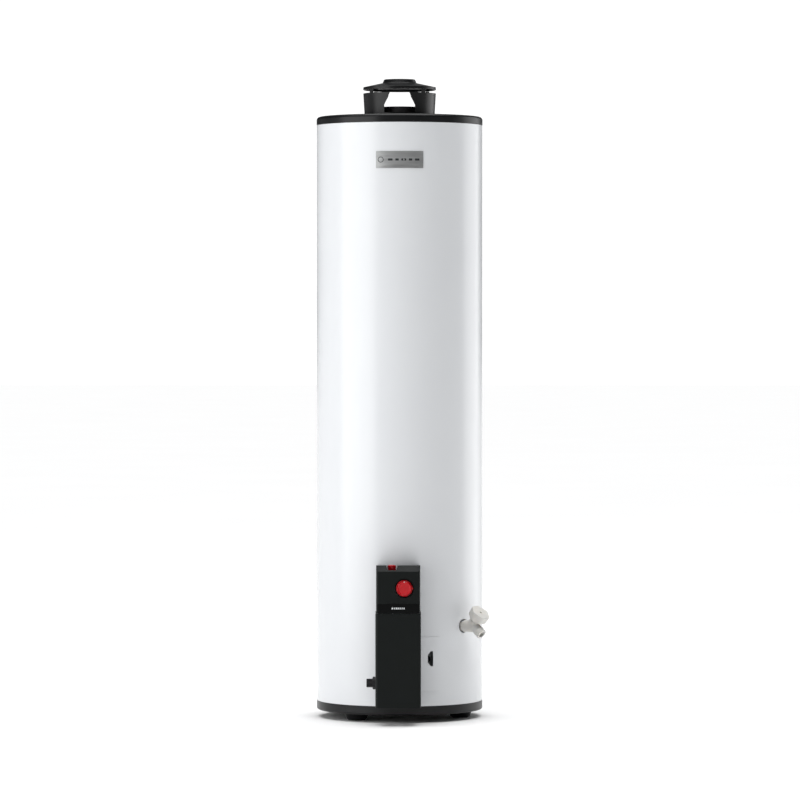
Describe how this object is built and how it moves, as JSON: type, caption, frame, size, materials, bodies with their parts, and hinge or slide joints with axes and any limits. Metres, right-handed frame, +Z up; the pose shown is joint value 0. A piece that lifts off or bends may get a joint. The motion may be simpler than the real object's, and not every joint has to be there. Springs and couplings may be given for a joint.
{
  "type": "tank water heater",
  "caption": "Tall gas storage water heater with white round jacket, black draft hood, front control cover, red dial and button, and side drain valve.",
  "frame": {"origin": "on the floor, under the middle of the heater's footprint; the tank's own axis stands 48.9 mm behind it", "axes": "+Z up along the tank, -Y out of the front where the control cover is, +X to the right seen from the front"},
  "size_m": [0.415, 0.5002, 1.539],
  "materials": {
    "white_enamel": "gloss white baked enamel on steel sheet",
    "black_enamel": "satin black baked enamel on pressed steel",
    "nameplate": "brushed aluminium nameplate",
    "black_plastic": "fine-grained moulded black plastic",
    "gloss_black": "polished black strip",
    "red_plastic": "polished red moulded plastic",
    "ivory_plastic": "off-white moulded plastic",
    "rubber": "black rubber",
    "black_pipe": "black iron pipe",
    "cast_aluminium": "as-cast aluminium",
    "copper": "drawn copper tube",
    "brass": "turned brass",
    "galvanised": "galvanised sheet",
    "raw_steel": "plain steel",
    "glassed_steel": "glass-lined steel",
    "magnesium": "dull magnesium",
    "foam": "rigid foam"
  },
  "bodies": {
    "heater": {"outer_jacket": "white_enamel", "top_cap": "black_enamel", "base_pan": "black_enamel", "foot_left": "black_enamel", "foot_right": "black_enamel", "foot_rear": "black_enamel", "draft_hood": "black_enamel", "draft_hood_lid": "black_enamel", "badge_plate": "nameplate", "dial_backplate": "black_plastic", "drain_valve_body": "ivory_plastic", "drain_gland_nut": "ivory_plastic", "dip_tube": "ivory_plastic", "gas_inlet_pipe": "black_pipe", "gas_coupling": "black_pipe", "gas_nipple": "black_pipe", "gas_valve": "cast_aluminium", "burner_supply_tube": "cast_aluminium", "pilot_supply_tube": "copper", "thermostat_probe": "copper", "burner_orifice": "brass", "radiation_shield": "galvanised", "burner_mixer_tube": "galvanised", "inner_door": "galvanised", "pilot_burner": "galvanised", "cover_bracket": "galvanised", "flue_baffle": "galvanised", "flue_tube": "raw_steel", "cold_water_spud": "raw_steel", "hot_water_spud": "raw_steel", "anode_spud": "raw_steel", "drain_spud": "raw_steel", "thermostat_spud": "raw_steel", "burner_head": "raw_steel", "tank_shell": "glassed_steel", "anode_rod": "magnesium", "foam_insulation": "foam"},
    "dial": {"temperature_dial": "red_plastic", "dial_shaft": "brass"},
    "button": {"pilot_button": "red_plastic"},
    "door": {"access_door": "white_enamel"},
    "upper_cover": {"upper_cover": "black_plastic", "label_strip": "gloss_black"},
    "lower_cover": {"lower_cover": "black_plastic"},
    "drain_stem": {"drain_stem": "ivory_plastic", "drain_seat_washer": "rubber"},
    "drain_wheel": {"drain_handwheel": "ivory_plastic"}
  },
  "joints": [
    {"name": "dial_turn", "type": "hinge", "parent": "heater", "child": "dial", "pos_m": [0.011, -0.2411, 0.3265], "axis": [0, -1, 0], "range_deg": [-135, 135]},
    {"name": "button_press", "type": "slide", "parent": "heater", "child": "button", "axis": [0, 0, -1], "range_m": [0, 0.006], "stiffness_N_per_m": 400, "springref_m": -0.004},
    {"name": "door_slide", "type": "hinge", "parent": "heater", "child": "door", "pos_m": [0, 0.0489, 0.14], "axis": [0, 0, 1], "range_deg": [0, 24]},
    {"name": "upper_cover_pull", "type": "slide", "parent": "heater", "child": "upper_cover", "axis": [0, -1, 0], "range_m": [0, 0.05]},
    {"name": "lower_cover_pull", "type": "slide", "parent": "heater", "child": "lower_cover", "axis": [0, -1, 0], "range_m": [0, 0.06]},
    {"name": "drain_wheel_turn", "type": "hinge", "parent": "drain_stem", "child": "drain_wheel", "pos_m": [0.17129, -0.09483, 0.227], "axis": [0.4924, -0.4132, 0.766], "range_deg": [0, 720]},
    {"name": "drain_stem_travel", "type": "slide", "parent": "heater", "child": "drain_stem", "axis": [0.4924, -0.4132, 0.766], "range_m": [0, 0.006]}
  ],
  "couplings": [
    {"joint": "drain_wheel_turn", "follows": "drain_stem_travel", "rad_per_m": 2094.2}
  ]
}
